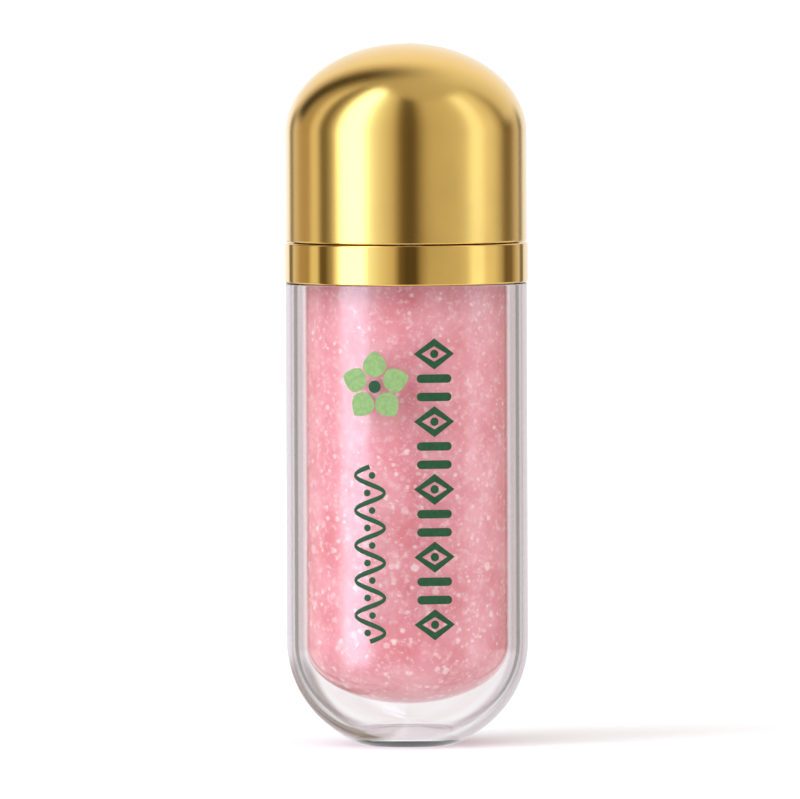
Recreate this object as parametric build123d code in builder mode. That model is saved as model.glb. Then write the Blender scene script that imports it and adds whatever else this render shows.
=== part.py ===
from build123d import *

import math
import os

# A lip gloss tube: a clear double-walled bottle with a rounded base, and a domed gold screw cap
# that carries the wand. Millimetres, +Z up. The origin is the middle of the flat foot that the
# bottle stands on, on the bottle's axis, and the decorated front faces -Y.

# ---------------------------------------------------------------- driving dimensions
BODY_RADIUS = 12.0
COLLAR_RADIUS = 12.1
TOTAL_HEIGHT = 69.8
COLLAR_BOTTOM = 46.0
COLLAR_TOP = 50.0
SEAM_GAP = 0.1

# Outer shell. Its outline below BASE_ARC_Z is half an ellipse, cut flat at the foot.
BASE_ARC_Z = 10.25
BASE_ARC_DROP = 11.0
SHELL_WALL = 1.1
SHELL_FLOOR = 1.3
SPIGOT_RADIUS = 11.4
SHELL_RIM = 47.6

# Vial. It hangs in the shell by its flange and stands clear of the shell all round.
VIAL_RADIUS = 10.1
VIAL_WALL = 0.6
VIAL_ARC_Z = 10.0
VIAL_ARC_DROP = 5.9
CHAMBER_ARC_DROP = 5.2
CHAMBER_TOP = 46.7
CHAMBER_NECK_Z = 47.8
FLANGE_RADIUS = 11.3
FLANGE_TOP = 48.8

# Gloss. The pocket is the room that the wand takes up in the filling.
GLOSS_LEVEL = 46.4
GLOSS_SKIN = 0.03
WAND_POCKET_RADIUS = 2.3
WAND_POCKET_BOTTOM = 6.6

# Collar.
COLLAR_FIT = 0.05
COLLAR_LIFT = 0.04
COLLAR_HOLE_RADIUS = 7.45

# Neck and screw thread, right-handed. Widths are measured along the axis.
NECK_ROOT_RADIUS = 6.45
NECK_CREST_RADIUS = 7.2
NECK_BORE_RADIUS = 5.0
NECK_TOP = 59.6
THREAD_PITCH = 2.1
THREAD_BURY = 0.15
NECK_THREAD_Z = 53.2
NECK_THREAD_TURNS = 1.5
NECK_THREAD_ROOT_WIDTH = 1.1
NECK_THREAD_CREST_WIDTH = 0.5
CAP_THREAD_TURNS = 1.4
CAP_THREAD_ROOT_RADIUS = 7.35
CAP_THREAD_CREST_RADIUS = 6.62
CAP_THREAD_ROOT_WIDTH = 0.85
CAP_THREAD_CREST_WIDTH = 0.4

# Wiper.
WIPER_FLANGE_RADIUS = 6.3
WIPER_TOP = 60.2
WIPER_RADIUS = 4.97
WIPER_WALL = 0.75
WIPER_FUNNEL_TOP = 54.6
WIPER_LIP_BOTTOM = 51.0
WIPER_LIP_RADIUS = 2.1
WIPER_LIP_WALL = 0.5

# Cap: the metal dome, the plastic cap inside it and the sealing washer.
DOME_HEIGHT = 8.95
OVERCAP_WALL = 0.8
CAP_FIT = 0.05
INNER_CAP_BOTTOM = 50.3
INNER_CAP_WALL = 0.95
THREADED_SLEEVE_BOTTOM = 50.6
THREADED_SLEEVE_RADIUS = 8.6
WEB_BOTTOM = 61.0
WEB_TOP = 62.0
WEB_EDGE_RADIUS = 10.9
RIB_COUNT = 8
RIB_THICKNESS = 0.8
RIB_BOTTOM = 52.0
RIB_BURY = 0.2
SOCKET_RADIUS = 3.6
SOCKET_TOP = 66.5
GUSSET_COUNT = 4
GUSSET_REACH = 8.0
LINER_BOTTOM = 60.25
LINER_TOP = 60.95
LINER_RADIUS = 7.1
LINER_HOLE_RADIUS = 2.2

# Wand: the stem, the core plugged into its lower end, and the flock on the core.
STEM_RADIUS = 2.0
STEM_FIT = 0.05
STEM_BOTTOM = 21.0
STEM_TOP = 65.9
STEM_BORE_RADIUS = 1.25
STEM_BORE_DEPTH = 4.3
STEM_TAPER = 0.3
CORE_PEG_LENGTH = 4.1
CORE_RADIUS = 1.55
TIP_RADIUS = 1.95
TIP_BOTTOM = 8.9
TIP_ARC_DROP = 2.4
SLANT_START = 14.6
SLANT_ANGLE = 23.0

# Edge breaks.
RIM_CHAMFER = 0.15
FOOT_ROUND = 0.25

# ---------------------------------------------------------------- worked-out sizes
SHELL_BORE_RADIUS = BODY_RADIUS - SHELL_WALL
SHELL_BORE_DROP = BASE_ARC_DROP - SHELL_WALL
CHAMBER_RADIUS = VIAL_RADIUS - VIAL_WALL
GLOSS_RADIUS = CHAMBER_RADIUS - GLOSS_SKIN
GLOSS_DROP = CHAMBER_ARC_DROP - GLOSS_SKIN
DOME_BASE = TOTAL_HEIGHT - DOME_HEIGHT
OVERCAP_BOTTOM = COLLAR_TOP + SEAM_GAP
OVERCAP_BORE_RADIUS = BODY_RADIUS - OVERCAP_WALL
OVERCAP_BORE_DOME = DOME_HEIGHT - OVERCAP_WALL
INNER_CAP_RADIUS = OVERCAP_BORE_RADIUS - CAP_FIT
INNER_CAP_BORE = INNER_CAP_RADIUS - INNER_CAP_WALL
CAP_THREAD_Z = NECK_THREAD_Z - THREAD_PITCH / 2
FLOCK_THICKNESS = TIP_RADIUS - CORE_RADIUS
TIP_TOP = STEM_BOTTOM - STEM_FIT
PEG_RADIUS = STEM_BORE_RADIUS - STEM_FIT

os.makedirs("parts", exist_ok=True)


def ring(inner_radius, outer_radius, bottom, top, mode=Mode.ADD):
    """Rectangle on the XZ sketch plane that revolves into a plain ring."""
    with Locations((inner_radius, bottom)):
        Rectangle(outer_radius - inner_radius, top - bottom, align=(Align.MIN, Align.MIN), mode=mode)


def slant_plane(depth):
    """Plane of the tip's slanted face, sunk by depth below the flocked face, normal outwards."""
    slant = math.radians(SLANT_ANGLE)
    normal = Vector(math.cos(slant), 0, -math.sin(slant))
    return Plane(origin=Vector(TIP_RADIUS, 0, SLANT_START) - normal * depth, z_dir=normal)


# ---------------------------------------------------------------- outer shell
# Clear jacket: straight wall, rounded base on a flat foot, and a spigot that the collar grips.
with BuildPart() as outer_shell:
    with BuildSketch(Plane.XZ):
        with BuildLine():
            base_curve = EllipticalCenterArc((0, BASE_ARC_Z), BODY_RADIUS, BASE_ARC_DROP, -90, arc_size=90)
            Polyline(
                base_curve @ 1,
                (BODY_RADIUS, COLLAR_BOTTOM),
                (SPIGOT_RADIUS, COLLAR_BOTTOM),
                (SPIGOT_RADIUS, SHELL_RIM),
                (0, SHELL_RIM),
                base_curve @ 0,
            )
        make_face()
    revolve(axis=Axis.Z)
    split(bisect_by=Plane.XY, keep=Keep.TOP)
    fillet(outer_shell.edges().group_by(Axis.Z)[0], FOOT_ROUND)
    with BuildSketch(Plane.XZ):
        with BuildLine():
            bore_curve = EllipticalCenterArc(
                (0, BASE_ARC_Z), SHELL_BORE_RADIUS, SHELL_BORE_DROP, -90, arc_size=90
            )
            Polyline(bore_curve @ 1, (SHELL_BORE_RADIUS, SHELL_RIM), (0, SHELL_RIM), bore_curve @ 0)
        make_face()
        ring(0, BODY_RADIUS, BASE_ARC_Z - BASE_ARC_DROP, SHELL_FLOOR, Mode.SUBTRACT)
    revolve(axis=Axis.Z, mode=Mode.SUBTRACT)
outer_shell.part.label = "outer_shell"
export_step(outer_shell.part, "parts/outer_shell.step")

# ---------------------------------------------------------------- inner vial
# Clear bottle that holds the gloss. Its flange rests on the shell's rim, its domed bottom hangs
# above the shell's floor, and its neck carries the outside thread.
with BuildPart() as inner_vial:
    with BuildSketch(Plane.XZ):
        with BuildLine():
            bottom_curve = EllipticalCenterArc((0, VIAL_ARC_Z), VIAL_RADIUS, VIAL_ARC_DROP, -90, arc_size=90)
            chamber_curve = EllipticalCenterArc(
                (0, VIAL_ARC_Z), CHAMBER_RADIUS, CHAMBER_ARC_DROP, -90, arc_size=90
            )
            Polyline(
                bottom_curve @ 1,
                (VIAL_RADIUS, SHELL_RIM),
                (FLANGE_RADIUS, SHELL_RIM),
                (FLANGE_RADIUS, FLANGE_TOP),
                (NECK_ROOT_RADIUS, FLANGE_TOP),
                (NECK_ROOT_RADIUS, NECK_TOP),
                (NECK_BORE_RADIUS, NECK_TOP),
                (NECK_BORE_RADIUS, CHAMBER_NECK_Z),
                (CHAMBER_RADIUS, CHAMBER_TOP),
                chamber_curve @ 1,
            )
            Line(chamber_curve @ 0, bottom_curve @ 0)
        make_face()
    revolve(axis=Axis.Z)
    with BuildLine() as neck_thread_path:
        Helix(
            THREAD_PITCH, THREAD_PITCH * NECK_THREAD_TURNS, NECK_ROOT_RADIUS, center=(0, 0, NECK_THREAD_Z)
        )
    with BuildSketch(Plane.XZ):
        with BuildLine():
            Polyline(
                (NECK_ROOT_RADIUS - THREAD_BURY, NECK_THREAD_Z - NECK_THREAD_ROOT_WIDTH / 2),
                (NECK_CREST_RADIUS, NECK_THREAD_Z - NECK_THREAD_CREST_WIDTH / 2),
                (NECK_CREST_RADIUS, NECK_THREAD_Z + NECK_THREAD_CREST_WIDTH / 2),
                (NECK_ROOT_RADIUS - THREAD_BURY, NECK_THREAD_Z + NECK_THREAD_ROOT_WIDTH / 2),
                close=True,
            )
        make_face()
    sweep(path=neck_thread_path.wires()[0], is_frenet=True)
inner_vial.part.label = "inner_vial"
export_step(inner_vial.part, "parts/inner_vial.step")

# ---------------------------------------------------------------- gloss
# The filling, with the pocket that the wand stands in.
with BuildPart() as gloss:
    with BuildSketch(Plane.XZ):
        with BuildLine():
            fill_curve = EllipticalCenterArc((0, VIAL_ARC_Z), GLOSS_RADIUS, GLOSS_DROP, -90, arc_size=90)
            Polyline(fill_curve @ 1, (GLOSS_RADIUS, GLOSS_LEVEL), (0, GLOSS_LEVEL), fill_curve @ 0)
        make_face()
        ring(0, WAND_POCKET_RADIUS, WAND_POCKET_BOTTOM + WAND_POCKET_RADIUS, GLOSS_LEVEL, Mode.SUBTRACT)
        with Locations((0, WAND_POCKET_BOTTOM + WAND_POCKET_RADIUS)):
            Circle(WAND_POCKET_RADIUS, mode=Mode.SUBTRACT)
    revolve(axis=Axis.Z)
gloss.part.label = "gloss"
export_step(gloss.part, "parts/gloss.step")

# ---------------------------------------------------------------- collar
# Bright ring that stays on the bottle. Its skirt grips the shell's spigot, and its top plate holds
# the vial's flange down and has a hole that passes over the neck thread.
with BuildPart() as collar:
    with BuildSketch(Plane.XZ):
        ring(COLLAR_HOLE_RADIUS, COLLAR_RADIUS, FLANGE_TOP, COLLAR_TOP)
        ring(SPIGOT_RADIUS + COLLAR_FIT, COLLAR_RADIUS, COLLAR_BOTTOM + COLLAR_LIFT, FLANGE_TOP)
    revolve(axis=Axis.Z)
    outer_rims = collar.edges().filter_by(GeomType.CIRCLE).group_by(SortBy.RADIUS)[-1]
    chamfer(outer_rims, RIM_CHAMFER)
collar.part.label = "collar"
export_step(collar.part, "parts/collar.step")

# ---------------------------------------------------------------- wiper
# Soft plug pressed into the neck: a flange on the neck's rim, a sleeve, and a funnel to the lip
# that strips the wand.
with BuildPart() as wiper:
    with BuildSketch(Plane.XZ):
        with BuildLine():
            Polyline(
                (WIPER_FLANGE_RADIUS, NECK_TOP),
                (WIPER_FLANGE_RADIUS, WIPER_TOP),
                (WIPER_RADIUS - WIPER_WALL, WIPER_TOP),
                (WIPER_RADIUS - WIPER_WALL, WIPER_FUNNEL_TOP),
                (WIPER_LIP_RADIUS, WIPER_LIP_BOTTOM + WIPER_LIP_WALL),
                (WIPER_LIP_RADIUS, WIPER_LIP_BOTTOM),
                (WIPER_LIP_RADIUS + WIPER_LIP_WALL, WIPER_LIP_BOTTOM),
                (WIPER_RADIUS, WIPER_FUNNEL_TOP - WIPER_LIP_WALL),
                (WIPER_RADIUS, NECK_TOP),
                close=True,
            )
        make_face()
    revolve(axis=Axis.Z)
wiper.part.label = "wiper"
export_step(wiper.part, "parts/wiper.step")

# ---------------------------------------------------------------- overcap
# Thin satin dome over the whole cap: a straight skirt that ends in half an ellipse.
with BuildPart() as overcap:
    with BuildSketch(Plane.XZ):
        with BuildLine():
            dome_curve = EllipticalCenterArc((0, DOME_BASE), BODY_RADIUS, DOME_HEIGHT, 90, arc_size=-90)
            dome_bore = EllipticalCenterArc(
                (0, DOME_BASE), OVERCAP_BORE_RADIUS, OVERCAP_BORE_DOME, 90, arc_size=-90
            )
            Polyline(
                dome_curve @ 1,
                (BODY_RADIUS, OVERCAP_BOTTOM),
                (OVERCAP_BORE_RADIUS, OVERCAP_BOTTOM),
                dome_bore @ 1,
            )
            Line(dome_bore @ 0, dome_curve @ 0)
        make_face()
    revolve(axis=Axis.Z)
    mouth_edges = overcap.edges().group_by(Axis.Z)[0]
    chamfer(mouth_edges.sort_by(SortBy.RADIUS)[-1], RIM_CHAMFER)
overcap.part.label = "overcap"
export_step(overcap.part, "parts/overcap.step")

# ---------------------------------------------------------------- inner cap
# Plastic cap inside the dome: outer sleeve, web, ribbed sleeve with the inside thread, and above
# the web the stem's socket on its gussets.
with BuildPart() as inner_cap:
    with BuildSketch(Plane.XZ):
        with BuildLine():
            Polyline(
                (INNER_CAP_RADIUS, INNER_CAP_BOTTOM),
                (INNER_CAP_RADIUS, DOME_BASE),
                (WEB_EDGE_RADIUS, WEB_TOP),
                (SOCKET_RADIUS, WEB_TOP),
                (SOCKET_RADIUS, SOCKET_TOP),
                (0, SOCKET_TOP),
                (0, WEB_BOTTOM),
                (INNER_CAP_BORE, WEB_BOTTOM),
                (INNER_CAP_BORE, INNER_CAP_BOTTOM),
                close=True,
            )
        make_face()
        ring(CAP_THREAD_ROOT_RADIUS, THREADED_SLEEVE_RADIUS, THREADED_SLEEVE_BOTTOM, WEB_BOTTOM)
        ring(0, STEM_RADIUS + STEM_FIT, WEB_BOTTOM, STEM_TOP + STEM_FIT, Mode.SUBTRACT)
    revolve(axis=Axis.Z)
    with BuildSketch(Plane.XY.offset(RIB_BOTTOM)):
        with PolarLocations(THREADED_SLEEVE_RADIUS - RIB_BURY, RIB_COUNT):
            Rectangle(
                INNER_CAP_BORE - THREADED_SLEEVE_RADIUS + 2 * RIB_BURY,
                RIB_THICKNESS,
                align=(Align.MIN, Align.CENTER),
            )
    extrude(amount=WEB_BOTTOM - RIB_BOTTOM)
    with BuildLine() as cap_thread_path:
        Helix(
            THREAD_PITCH, THREAD_PITCH * CAP_THREAD_TURNS, CAP_THREAD_ROOT_RADIUS, center=(0, 0, CAP_THREAD_Z)
        )
    with BuildSketch(Plane.XZ):
        with BuildLine():
            Polyline(
                (CAP_THREAD_ROOT_RADIUS + THREAD_BURY, CAP_THREAD_Z - CAP_THREAD_ROOT_WIDTH / 2),
                (CAP_THREAD_CREST_RADIUS, CAP_THREAD_Z - CAP_THREAD_CREST_WIDTH / 2),
                (CAP_THREAD_CREST_RADIUS, CAP_THREAD_Z + CAP_THREAD_CREST_WIDTH / 2),
                (CAP_THREAD_ROOT_RADIUS + THREAD_BURY, CAP_THREAD_Z + CAP_THREAD_ROOT_WIDTH / 2),
                close=True,
            )
        make_face()
    sweep(path=cap_thread_path.wires()[0], is_frenet=True)
    for gusset in range(GUSSET_COUNT):
        with BuildSketch(Plane.XZ.rotated((0, 0, gusset * 360 / GUSSET_COUNT))):
            with BuildLine():
                Polyline(
                    (SOCKET_RADIUS - RIB_BURY, WEB_TOP - RIB_BURY),
                    (GUSSET_REACH, WEB_TOP - RIB_BURY),
                    (GUSSET_REACH, WEB_TOP),
                    (SOCKET_RADIUS, SOCKET_TOP),
                    (SOCKET_RADIUS - RIB_BURY, SOCKET_TOP),
                    close=True,
                )
            make_face()
        extrude(amount=RIB_THICKNESS / 2, both=True)
inner_cap.part.label = "inner_cap"
export_step(inner_cap.part, "parts/inner_cap.step")

# ---------------------------------------------------------------- cap liner
# Flat sealing washer between the wiper's flange and the inner cap's web.
with BuildPart() as cap_liner:
    with BuildSketch(Plane.XZ):
        ring(LINER_HOLE_RADIUS, LINER_RADIUS, LINER_BOTTOM, LINER_TOP)
    revolve(axis=Axis.Z)
cap_liner.part.label = "cap_liner"
export_step(cap_liner.part, "parts/cap_liner.step")

# ---------------------------------------------------------------- wand stem
# Round rod from the cap's socket down into the gloss, bored at its lower end for the core's peg.
with BuildPart() as wand_stem:
    with BuildSketch(Plane.XZ):
        ring(0, STEM_RADIUS, STEM_BOTTOM, STEM_TOP)
        ring(0, STEM_BORE_RADIUS, STEM_BOTTOM, STEM_BOTTOM + STEM_BORE_DEPTH, Mode.SUBTRACT)
    revolve(axis=Axis.Z)
    stem_ends = wand_stem.edges().filter_by(GeomType.CIRCLE).group_by(SortBy.RADIUS)[-1]
    chamfer(stem_ends, STEM_TAPER)
wand_stem.part.label = "wand_stem"
export_step(wand_stem.part, "parts/wand_stem.step")

# ---------------------------------------------------------------- applicator core
# Stiff core of the tip: a peg that plugs into the stem, and a rounded blade with a slanted face.
with BuildPart() as applicator_core:
    with BuildSketch(Plane.XZ):
        with BuildLine():
            core_curve = EllipticalCenterArc(
                (0, TIP_BOTTOM + TIP_ARC_DROP), CORE_RADIUS, TIP_ARC_DROP - FLOCK_THICKNESS, 0, arc_size=-90
            )
            Polyline(
                core_curve @ 0,
                (CORE_RADIUS, TIP_TOP),
                (PEG_RADIUS, TIP_TOP),
                (PEG_RADIUS, TIP_TOP + CORE_PEG_LENGTH),
                (0, TIP_TOP + CORE_PEG_LENGTH),
                core_curve @ 1,
            )
        make_face()
    revolve(axis=Axis.Z)
    split(bisect_by=slant_plane(FLOCK_THICKNESS), keep=Keep.BOTTOM)
applicator_core.part.label = "applicator_core"
export_step(applicator_core.part, "parts/applicator_core.step")

# ---------------------------------------------------------------- flocked tip
# Sleeve of short fibres over the core, all round it and over its slanted face.
with BuildPart() as flocked_tip:
    with BuildSketch(Plane.XZ):
        with BuildLine():
            tip_curve = EllipticalCenterArc(
                (0, TIP_BOTTOM + TIP_ARC_DROP), TIP_RADIUS, TIP_ARC_DROP, 0, arc_size=-90
            )
            Polyline(tip_curve @ 0, (TIP_RADIUS, TIP_TOP), (0, TIP_TOP), tip_curve @ 1)
        make_face()
    revolve(axis=Axis.Z)
    split(bisect_by=slant_plane(0), keep=Keep.BOTTOM)
    add(applicator_core.part, mode=Mode.SUBTRACT)
flocked_tip.part.label = "flocked_tip"
export_step(flocked_tip.part, "parts/flocked_tip.step")
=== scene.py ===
import logging
import math
import random
from dataclasses import dataclass, field
from enum import Enum
from typing import Callable, Optional, Sequence

import bmesh
import bpy
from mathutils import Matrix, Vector


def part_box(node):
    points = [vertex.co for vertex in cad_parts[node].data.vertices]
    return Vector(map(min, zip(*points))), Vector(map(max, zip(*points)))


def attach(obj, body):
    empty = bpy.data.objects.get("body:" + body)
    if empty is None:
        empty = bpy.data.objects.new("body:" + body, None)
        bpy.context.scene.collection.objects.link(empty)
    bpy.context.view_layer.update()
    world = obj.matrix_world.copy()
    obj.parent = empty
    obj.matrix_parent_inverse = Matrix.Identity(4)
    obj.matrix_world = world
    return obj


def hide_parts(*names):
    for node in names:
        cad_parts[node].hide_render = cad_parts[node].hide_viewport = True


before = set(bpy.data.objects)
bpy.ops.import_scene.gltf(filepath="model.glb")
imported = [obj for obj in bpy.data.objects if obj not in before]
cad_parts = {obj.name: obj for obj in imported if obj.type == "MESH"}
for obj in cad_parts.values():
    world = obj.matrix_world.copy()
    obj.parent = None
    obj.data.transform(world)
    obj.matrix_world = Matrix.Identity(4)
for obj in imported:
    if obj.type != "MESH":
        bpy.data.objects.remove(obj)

# Looks of a lip gloss tube: a clear double-walled bottle, its pink filling, a mirror-bright collar,
# a satin gold cap and the wand inside. Metres, +Z up, the decorated front faces -Y.

log = logging.getLogger("lip_gloss_tube")

MM = 0.001
SHARP_EDGE = math.radians(32)
HOLD = 0.12 * MM
FULL_TURN = 2 * math.pi
HAIR_STRETCH = (1.0, 0.9, 0.06)
SMALLEST_FLAKE = 0.45
WARM_GAINS = (0.05, -0.2, -0.5)

Point = tuple[float, float]
Limits = tuple[float, float]
Panel = tuple[float, float, float]
Colour = tuple[float, float, float, float]
Relief = Callable[[float, float, float], float]
Corners = list[tuple[float, float, float]]
Faces = list[tuple[int, ...]]


# ------------------------------------------------------------------------------ turned pieces
class Fineness(Enum):
    """Number of flats round a turned piece."""

    SMALL = 64
    MEDIUM = 128
    LARGE = 192


@dataclass
class Outline:
    """Half section of a turned piece: (radius, height) points in metres, up the outside, down the inside."""

    points: list[Point] = field(default_factory=list)

    def to(self, radius: float, height: float) -> "Outline":
        """Runs straight to a point, and holds both ends of a long run so that its shading stays flat.

        Args:
            radius: distance of the new point from the axis.
            height: height of the new point.

        Returns:
            The same outline, so that calls can be chained.
        """
        if self.points:
            start_radius, start_height = self.points[-1]
            length = math.hypot(radius - start_radius, height - start_height)
            if length > 4 * HOLD:
                for share in (HOLD / length, 1 - HOLD / length):
                    between_radius = start_radius + (radius - start_radius) * share
                    between_height = start_height + (height - start_height) * share
                    self.points.append((between_radius, between_height))
        self.points.append((radius, height))
        return self

    def curve(
        self, centre: Point, half_width: float, half_height: float, start: float, end: float, steps: int
    ) -> "Outline":
        """Follows part of an ellipse, by its own angle in degrees from the horizontal.

        Args:
            centre: (radius, height) of the ellipse's centre.
            half_width: its half width, across the axis.
            half_height: its half height, along the axis.
            start: angle where the curve starts.
            end: angle where it ends.
            steps: number of straight steps that stand for it.

        Returns:
            The same outline.
        """
        for step in range(steps + 1):
            angle = math.radians(start + (end - start) * step / steps)
            radius = centre[0] + half_width * math.cos(angle)
            height = centre[1] + half_height * math.sin(angle)
            if step == 0:
                self.to(max(radius, 0.0), height)
            else:
                self.points.append((max(radius, 0.0), height))
        return self

    def rows(self, radius: float, height: float, spacing: float) -> "Outline":
        """Runs straight to a point in even rows, close enough together to carry relief.

        Args:
            radius: distance of the end point from the axis.
            height: height of the end point.
            spacing: largest distance between two rows.

        Returns:
            The same outline.
        """
        start_radius, start_height = self.points[-1]
        count = max(1, math.ceil(math.hypot(radius - start_radius, height - start_height) / spacing))
        for row in range(1, count + 1):
            share = row / count
            between_radius = start_radius + (radius - start_radius) * share
            self.points.append((between_radius, start_height + (height - start_height) * share))
        return self


def turn(
    name: str,
    outline: Outline,
    fineness: Fineness = Fineness.MEDIUM,
    closed: bool = False,
    relief: Optional[Relief] = None,
) -> bpy.types.Object:
    """Turns an outline about the vertical axis into one closed mesh.

    Args:
        name: name of the new piece.
        outline: its half section, whose ends lie on the axis unless it is closed.
        fineness: number of flats round the piece.
        closed: joins the outline's end to its start, as in a ring.
        relief: gives an extra radius for an angle, radius and height.

    Returns:
        The new object, linked to the scene.
    """
    flats = fineness.value
    verts: list[tuple[float, float, float]] = []
    faces: list[tuple[int, ...]] = []
    loops: list[list[int]] = []
    for radius, height in outline.points:
        if radius < 1e-9:
            loops.append([len(verts)])
            verts.append((0.0, 0.0, height))
            continue
        loops.append(list(range(len(verts), len(verts) + flats)))
        for flat in range(flats):
            angle = FULL_TURN * flat / flats
            raised = radius + (relief(angle, radius, height) if relief else 0.0)
            verts.append((raised * math.cos(angle), raised * math.sin(angle), height))
    pairs = list(zip(loops, loops[1:]))
    if closed:
        pairs.append((loops[-1], loops[0]))
    for lower, upper in pairs:
        for flat in range(flats):
            after = (flat + 1) % flats
            if len(lower) == 1:
                faces.append((lower[0], upper[after], upper[flat]))
            elif len(upper) == 1:
                faces.append((lower[flat], lower[after], upper[0]))
            else:
                faces.append((lower[flat], lower[after], upper[after], upper[flat]))
    return mesh_piece(name, verts, faces)


def mesh_piece(
    name: str,
    verts: Sequence[tuple[float, float, float]],
    faces: Sequence[tuple[int, ...]],
    sharp: float = SHARP_EDGE,
) -> bpy.types.Object:
    """Makes one smooth-shaded mesh object.

    Args:
        name: name of the new piece.
        verts: its corners in metres.
        faces: its faces, as corner numbers, anticlockwise from outside.
        sharp: angle above which an edge stays crisp.

    Returns:
        The new object, linked to the scene.
    """
    mesh = bpy.data.meshes.new(name)
    mesh.from_pydata(list(verts), [], list(faces))
    mesh.validate()
    mesh.polygons.foreach_set("use_smooth", [True] * len(mesh.polygons))
    mesh.set_sharp_from_angle(angle=sharp)
    mesh.update()
    piece = bpy.data.objects.new(name, mesh)
    bpy.context.scene.collection.objects.link(piece)
    return piece


@dataclass(frozen=True)
class ScrewThread:
    """A right-handed ridge that winds round a neck, or inside a cap with a negative height."""

    start: float
    pitch: float
    turns: float
    height: float
    root_width: float
    crest_width: float
    run_out: float = 0.1

    def relief(self, angle: float, radius: float, height: float) -> float:
        """Gives how far the ridge stands out.

        Args:
            angle: angle round the axis, in radians.
            radius: distance from the axis, which doesn't change the ridge.
            height: height on the axis.

        Returns:
            Extra radius in metres.
        """
        flank = (self.root_width - self.crest_width) / 2
        tallest = 0.0
        for wind in range(math.ceil(self.turns) + 1):
            along = angle / FULL_TURN + wind
            if along > self.turns:
                continue
            off_centre = abs(height - self.start - self.pitch * along)
            slope = min(max((self.root_width / 2 - off_centre) / flank, 0.0), 1.0)
            ends = min(along, self.turns - along) / self.run_out
            tallest = max(tallest, slope * min(max(ends, 0.0), 1.0))
        return self.height * tallest


# ------------------------------------------------------------------------------ node helpers
class Wiring:
    """Adds and links nodes in one node tree."""

    def __init__(self, tree: bpy.types.NodeTree) -> None:
        """Starts on an empty tree.

        Args:
            tree: the tree to build in.
        """
        self.tree = tree
        tree.nodes.clear()

    def add(self, kind: str, **settings: object) -> bpy.types.Node:
        """Adds a node.

        Args:
            kind: Blender's name for the node type.
            settings: properties to set on it.

        Returns:
            The new node.
        """
        node = self.tree.nodes.new(kind)
        for key, value in settings.items():
            setattr(node, key, value)
        return node

    def feed(self, source: object, target: bpy.types.NodeSocket) -> None:
        """Sets a socket from another socket or from a plain value."""
        if isinstance(source, bpy.types.NodeSocket):
            self.tree.links.new(source, target)
        else:
            target.default_value = source

    def maths(
        self, operation: str, first: object, second: object = 0.0, third: object = 0.0
    ) -> bpy.types.NodeSocket:
        """Adds a Math node.

        Args:
            operation: Blender's name for the sum.
            first: first value or socket.
            second: second value or socket.
            third: third value or socket, where the sum has one.

        Returns:
            The result's socket.
        """
        node = self.add("ShaderNodeMath", operation=operation)
        for position, value in enumerate((first, second, third)):
            self.feed(value, node.inputs[position])
        return node.outputs[0]

    def span(
        self, value: object, low: float, high: float, to_low: float = 0.0, to_high: float = 1.0
    ) -> bpy.types.NodeSocket:
        """Maps a value smoothly from one range to another.

        Args:
            value: the value or socket to map.
            low: start of the range it comes from.
            high: end of that range.
            to_low: what the start becomes.
            to_high: what the end becomes.

        Returns:
            The result's socket.
        """
        node = self.add("ShaderNodeMapRange", interpolation_type="SMOOTHSTEP")
        for position, number in enumerate((value, low, high, to_low, to_high)):
            self.feed(number, node.inputs[position])
        return node.outputs[0]

    def mix(self, share: object, first: object, second: object) -> bpy.types.NodeSocket:
        """Blends two colours.

        Args:
            share: how much of the second colour shows, from 0 to 1.
            first: colour or socket.
            second: colour or socket.

        Returns:
            The blended colour's socket.
        """
        node = self.add("ShaderNodeMix", data_type="RGBA")
        self.feed(share, node.inputs[0])
        self.feed(first, node.inputs[6])
        self.feed(second, node.inputs[7])
        return node.outputs[2]

    def noise(
        self, vector: object, scale: object, detail: float = 2.0, roughness: float = 0.5
    ) -> bpy.types.NodeSocket:
        """Adds cloudy noise.

        Args:
            vector: socket that places it.
            scale: how fine it is, per metre, as a value or socket.
            detail: number of finer layers.
            roughness: strength of the finer layers.

        Returns:
            The noise value's socket, about 0.5 on average.
        """
        node = self.add("ShaderNodeTexNoise")
        self.feed(vector, node.inputs["Vector"])
        self.feed(scale, node.inputs["Scale"])
        node.inputs["Detail"].default_value = detail
        node.inputs["Roughness"].default_value = roughness
        return node.outputs[0]

    def group(self, tree: bpy.types.NodeTree, **values: object) -> bpy.types.Node:
        """Places a node group and feeds its inputs, by name with underscores for spaces."""
        node = self.add("ShaderNodeGroup", node_tree=tree)
        for key, value in values.items():
            self.feed(value, node.inputs[key.replace("_", " ")])
        return node

    def place(self, stretch: tuple[float, float, float] = (1, 1, 1)) -> bpy.types.NodeSocket:
        """Gives the piece's own coordinates in metres.

        Args:
            stretch: scale on each axis.

        Returns:
            The coordinates' socket.
        """
        coords = self.add("ShaderNodeTexCoord")
        mapping = self.add("ShaderNodeMapping")
        self.feed(coords.outputs["Object"], mapping.inputs["Vector"])
        mapping.inputs["Scale"].default_value = stretch
        return mapping.outputs[0]


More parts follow.
